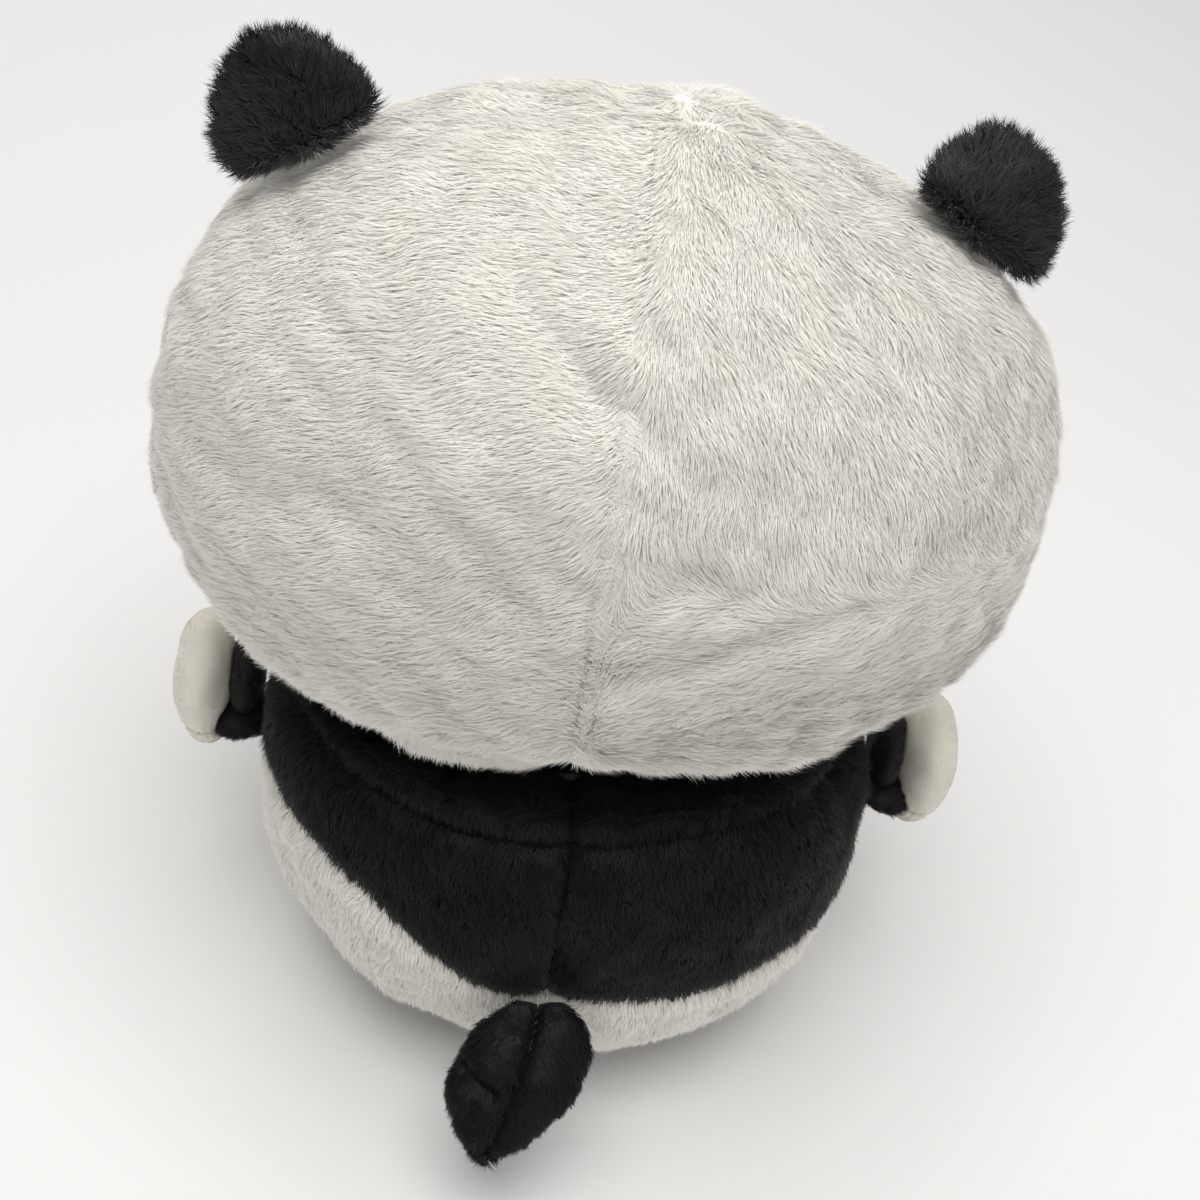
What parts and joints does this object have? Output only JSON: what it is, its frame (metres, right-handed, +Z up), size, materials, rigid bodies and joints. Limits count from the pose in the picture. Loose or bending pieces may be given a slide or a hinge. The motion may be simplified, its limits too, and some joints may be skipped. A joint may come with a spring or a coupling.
{
  "type": "plush panda",
  "caption": "Seated plush panda with an oversized wide head, a dark shoulder yoke, sewn sprung limbs with pale mitts, and a leaf-shaped dark tail.",
  "frame": {"origin": "on the floor, under the middle of the outline", "axes": "+Z up, the face looks along -Y, the panda's own left is +X"},
  "size_m": [0.2643, 0.2491, 0.315],
  "materials": {
    "white_plush": "long silky pile",
    "cream_velboa": "short smooth pile",
    "dark_plush": "long silky pile",
    "filling": "polyester fibre",
    "pellets": "plastic pellets in a cotton bag",
    "black_plastic": "gloss",
    "washer_plastic": "moulded",
    "thread": "embroidery thread"
  },
  "bodies": {
    "torso": {"yoke_left": "dark_plush", "yoke_right": "dark_plush", "rump_left": "white_plush", "rump_right": "white_plush", "belly_panel": "cream_velboa", "base_panel": "cream_velboa", "torso_stuffing": "filling", "pellet_bag": "pellets"},
    "neck": {"neck_stuffing": "filling"},
    "head": {"head_back_left": "white_plush", "head_back_right": "white_plush", "face_panel": "cream_velboa", "head_stuffing": "filling", "eye_patch_left": "dark_plush", "eye_patch_right": "dark_plush", "eye_left": "black_plastic", "eye_right": "black_plastic", "eye_washers": "washer_plastic", "muzzle_panel": "cream_velboa", "muzzle_stuffing": "filling", "nose": "black_plastic", "nose_washer": "washer_plastic", "mouth_stitching": "thread"},
    "ear_left": {"ear_left_front": "dark_plush", "ear_left_back": "dark_plush", "ear_left_stuffing": "filling"},
    "ear_right": {"ear_right_front": "dark_plush", "ear_right_back": "dark_plush", "ear_right_stuffing": "filling"},
    "arm_left": {"sleeve_left": "dark_plush", "mitt_left_upper": "cream_velboa", "mitt_left_under": "cream_velboa", "mitt_left_stuffing": "filling"},
    "arm_right": {"sleeve_right": "dark_plush", "mitt_right_upper": "cream_velboa", "mitt_right_under": "cream_velboa", "mitt_right_stuffing": "filling"},
    "leg_left": {"leg_left": "dark_plush", "sole_left": "cream_velboa", "leg_left_stuffing": "filling"},
    "leg_right": {"leg_right": "dark_plush", "sole_right": "cream_velboa", "leg_right_stuffing": "filling"},
    "tail": {"tail_left": "dark_plush", "tail_right": "dark_plush", "tail_stuffing": "filling"}
  },
  "joints": [
    {"name": "head_turn", "type": "hinge", "parent": "torso", "child": "neck", "pos_m": [0, -0.007, 0.1], "axis": [0, 0, 1], "range_deg": [-15, 15], "stiffness_Nm_per_rad": 1},
    {"name": "head_nod", "type": "hinge", "parent": "neck", "child": "head", "pos_m": [0, -0.007, 0.165], "axis": [1, 0, 0], "range_deg": [-8, 8], "stiffness_Nm_per_rad": 2},
    {"name": "ear_left_fold", "type": "hinge", "parent": "head", "child": "ear_left", "pos_m": [0.09436, -0.00507, 0.29078], "axis": [0.8361, 0.0669, -0.5445], "range_deg": [-15, 15], "stiffness_Nm_per_rad": 0.02},
    {"name": "ear_right_fold", "type": "hinge", "parent": "head", "child": "ear_right", "pos_m": [-0.08636, -0.00507, 0.29078], "axis": [0.8361, -0.0669, 0.5445], "range_deg": [-15, 15], "stiffness_Nm_per_rad": 0.02},
    {"name": "arm_left_lift", "type": "hinge", "parent": "torso", "child": "arm_left", "pos_m": [0.10232, -0.002, 0.082], "axis": [0, -1, 0], "range_deg": [-20, 12], "stiffness_Nm_per_rad": 0.05},
    {"name": "arm_right_lift", "type": "hinge", "parent": "torso", "child": "arm_right", "pos_m": [-0.10232, -0.002, 0.082], "axis": [0, 1, 0], "range_deg": [-20, 12], "stiffness_Nm_per_rad": 0.05},
    {"name": "leg_left_lift", "type": "hinge", "parent": "torso", "child": "leg_left", "pos_m": [0.06252, -0.08589, 0.0285], "axis": [-0.9272, -0.3746, 0], "range_deg": [-10, 30], "stiffness_Nm_per_rad": 0.2},
    {"name": "leg_right_lift", "type": "hinge", "parent": "torso", "child": "leg_right", "pos_m": [-0.06252, -0.08589, 0.0285], "axis": [-0.9272, 0.3746, 0], "range_deg": [-10, 30], "stiffness_Nm_per_rad": 0.2},
    {"name": "tail_lift", "type": "hinge", "parent": "torso", "child": "tail", "pos_m": [0.0025, 0.0893, 0.066], "axis": [1, 0, 0], "range_deg": [-10, 30], "stiffness_Nm_per_rad": 0.03}
  ]
}
